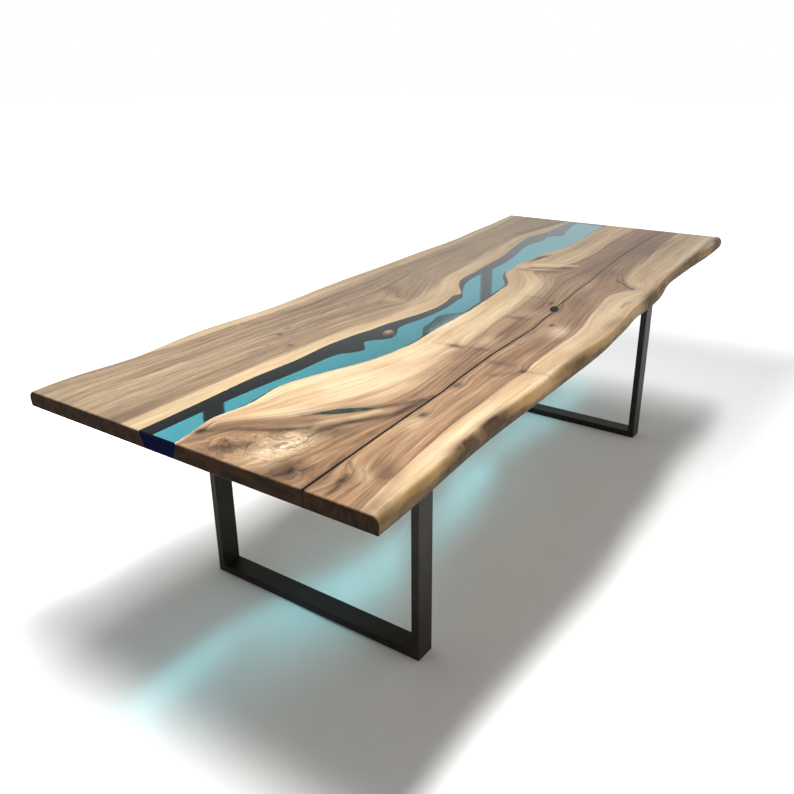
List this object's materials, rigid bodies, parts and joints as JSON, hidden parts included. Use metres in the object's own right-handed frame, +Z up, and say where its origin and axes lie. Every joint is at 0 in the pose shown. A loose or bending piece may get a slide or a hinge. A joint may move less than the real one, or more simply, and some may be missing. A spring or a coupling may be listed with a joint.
{
  "type": "live edge dining table",
  "caption": "Long dining table whose live edge walnut boards are cast round a clear teal resin river, on two open U shaped dark steel leg frames.",
  "frame": {"origin": "on the floor, under the middle of the table top's outline", "axes": "+X along the table towards its right-hand end, +Y towards the back edge, +Z up"},
  "size_m": [2.66, 1.1326, 0.76],
  "materials": {
    "walnut": "satin oiled walnut with pale sapwood along the natural edges",
    "river_resin": "clear teal casting resin, polished",
    "black_resin": "black casting resin, sanded flush",
    "teal_resin": "dark teal casting resin, sanded flush",
    "powder_coat": "dark bronze-black satin powder coat on welded steel",
    "bolt_steel": "black oxide",
    "insert_brass": "plain brass"
  },
  "bodies": {
    "root": {"back_board": "walnut", "black_split_fill": "black_resin", "front_inner_board": "walnut", "front_outer_board": "walnut", "left_leg_back_bolts": "bolt_steel", "left_leg_back_inserts": "insert_brass", "left_leg_back_plate": "powder_coat", "left_leg_back_post": "powder_coat", "left_leg_floor_rail": "powder_coat", "left_leg_front_bolts": "bolt_steel", "left_leg_front_inserts": "insert_brass", "left_leg_front_plate": "powder_coat", "left_leg_front_post": "powder_coat", "resin_river": "river_resin", "right_leg_back_bolts": "bolt_steel", "right_leg_back_inserts": "insert_brass", "right_leg_back_plate": "powder_coat", "right_leg_back_post": "powder_coat", "right_leg_floor_rail": "powder_coat", "right_leg_front_bolts": "bolt_steel", "right_leg_front_inserts": "insert_brass", "right_leg_front_plate": "powder_coat", "right_leg_front_post": "powder_coat", "teal_check_fill": "teal_resin"}
  },
  "joints": []
}
